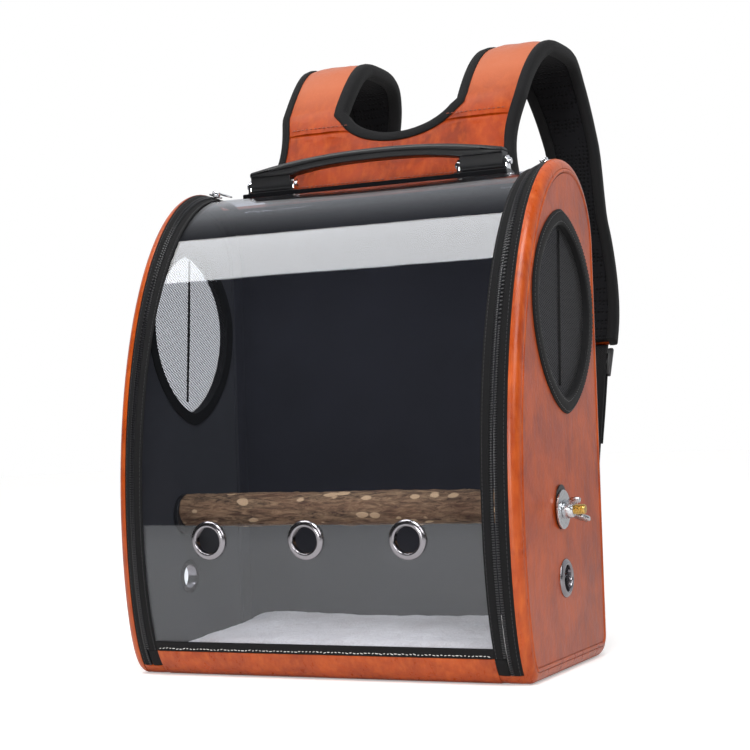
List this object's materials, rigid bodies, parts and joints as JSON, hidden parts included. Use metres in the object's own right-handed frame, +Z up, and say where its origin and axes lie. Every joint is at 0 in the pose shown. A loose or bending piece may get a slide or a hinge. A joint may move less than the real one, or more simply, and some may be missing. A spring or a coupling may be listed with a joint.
{
  "type": "bird travel carrier",
  "caption": "Backpack bird carrier: leather shell with a clear zipped front, side vents, perch across the cabin, fleece mat, carry handle and padded shoulder straps.",
  "frame": {"origin": "on the floor, under the middle of the body", "axes": "+X picture right, -Y the clear front, +Z up"},
  "size_m": [0.38, 0.3759, 0.5264],
  "materials": {
    "leather": "burnt orange pebbled leather cloth",
    "leather_roll": "smooth rolled leather cloth",
    "lining": "black woven polyester",
    "binding": "black ribbed binding tape",
    "net": "black polyester net",
    "zip_tape": "black woven zip tape",
    "zip_teeth": "black nylon coil",
    "clear_sheet": "clear soft PVC sheet",
    "nickel": "dark nickel plating",
    "chrome": "bright chrome plating",
    "zinc": "zinc plating",
    "brass": "yellow passivated thread",
    "black_abs": "glossy black moulding",
    "black_acetal": "black moulded buckle",
    "bark": "bark on branch wood",
    "fleece": "pale grey fleece",
    "air_mesh": "black spacer mesh",
    "webbing": "black woven webbing"
  },
  "bodies": {
    "shell": {"side_panel_left": "leather", "side_panel_right": "leather", "lining_left": "lining", "lining_right": "lining", "gusset_left": "leather_roll", "gusset_right": "leather_roll", "welt_left": "leather_roll", "welt_right": "leather_roll", "vent_net_left": "net", "vent_net_right": "net", "vent_binding_left": "binding", "vent_binding_right": "binding", "side_eyelet_left": "nickel", "side_eyelet_right": "nickel", "base_panel": "leather", "front_sill": "leather", "sill_corners": "leather", "back_panel": "leather", "back_lining": "lining", "back_pad_left": "air_mesh", "back_pad_right": "air_mesh", "top_sheet": "clear_sheet", "zip_tape_left": "zip_tape", "zip_tape_right": "zip_tape", "zip_teeth_left": "zip_teeth", "zip_teeth_right": "zip_teeth", "handle_plate": "black_abs", "handle_bracket_left": "chrome", "handle_bracket_right": "chrome", "handle_pins": "chrome", "perch": "bark", "perch_stud_left": "brass", "perch_stud_right": "brass", "perch_collars": "black_acetal", "stud_plates": "black_acetal", "washers": "zinc", "yoke": "leather", "strap_left": "leather", "strap_right": "leather", "webbing_left": "webbing", "webbing_right": "webbing", "strap_tabs": "leather"},
    "window": {"window_sheet": "clear_sheet", "window_tape_left": "zip_tape", "window_tape_right": "zip_tape", "window_teeth_left": "zip_teeth", "window_teeth_right": "zip_teeth", "window_hem": "binding", "window_eyelets": "nickel"},
    "slider_left": {"slider_left": "chrome"},
    "slider_right": {"slider_right": "chrome"},
    "pull_left": {"pull_left": "chrome"},
    "pull_right": {"pull_right": "chrome"},
    "handle": {"handle_grip": "black_abs"},
    "wing_nut_left": {"wing_nut_left": "zinc"},
    "wing_nut_right": {"wing_nut_right": "zinc"},
    "mat": {"floor_mat": "fleece"},
    "adjuster_left": {"adjuster_left": "black_acetal"},
    "adjuster_right": {"adjuster_right": "black_acetal"}
  },
  "joints": [
    {"name": "window_opening", "type": "hinge", "parent": "shell", "child": "window", "pos_m": [0, -0.08765, 0.01985], "axis": [1, 0, 0], "range_deg": [0, 85]},
    {"name": "slider_left_run", "type": "hinge", "parent": "shell", "child": "slider_left", "pos_m": [0, 0.042, 0.31679], "axis": [1, 0, 0], "range_deg": [0, 17]},
    {"name": "slider_right_run", "type": "hinge", "parent": "shell", "child": "slider_right", "pos_m": [0, 0.042, 0.31679], "axis": [1, 0, 0], "range_deg": [0, 17]},
    {"name": "pull_left_swing", "type": "hinge", "parent": "slider_left", "child": "pull_left", "pos_m": [-0.15051, 0.042, 0.40057], "axis": [0.9191, 0, -0.3939], "range_deg": [0, 150]},
    {"name": "pull_right_swing", "type": "hinge", "parent": "slider_right", "child": "pull_right", "pos_m": [0.15051, 0.042, 0.40057], "axis": [0.9191, 0, 0.3939], "range_deg": [0, 150]},
    {"name": "handle_fold", "type": "hinge", "parent": "shell", "child": "handle", "pos_m": [0, 0.047, 0.4038], "axis": [1, 0, 0], "range_deg": [-45, 75]},
    {"name": "wing_nut_left_turn", "type": "hinge", "parent": "shell", "child": "wing_nut_left", "pos_m": [-0.178, -0.006, 0.124], "axis": [1, 0, 0], "continuous": true},
    {"name": "wing_nut_right_turn", "type": "hinge", "parent": "shell", "child": "wing_nut_right", "pos_m": [0.178, -0.006, 0.124], "axis": [1, 0, 0], "continuous": true},
    {"name": "mat_lift", "type": "slide", "parent": "shell", "child": "mat", "axis": [0, 0, 1], "range_m": [0, 0.06]},
    {"name": "adjuster_left_run", "type": "slide", "parent": "shell", "child": "adjuster_left", "axis": [0, -0.4848, -0.8746], "range_m": [0, 0.04]},
    {"name": "adjuster_right_run", "type": "slide", "parent": "shell", "child": "adjuster_right", "axis": [0, -0.4848, -0.8746], "range_m": [0, 0.04]}
  ]
}
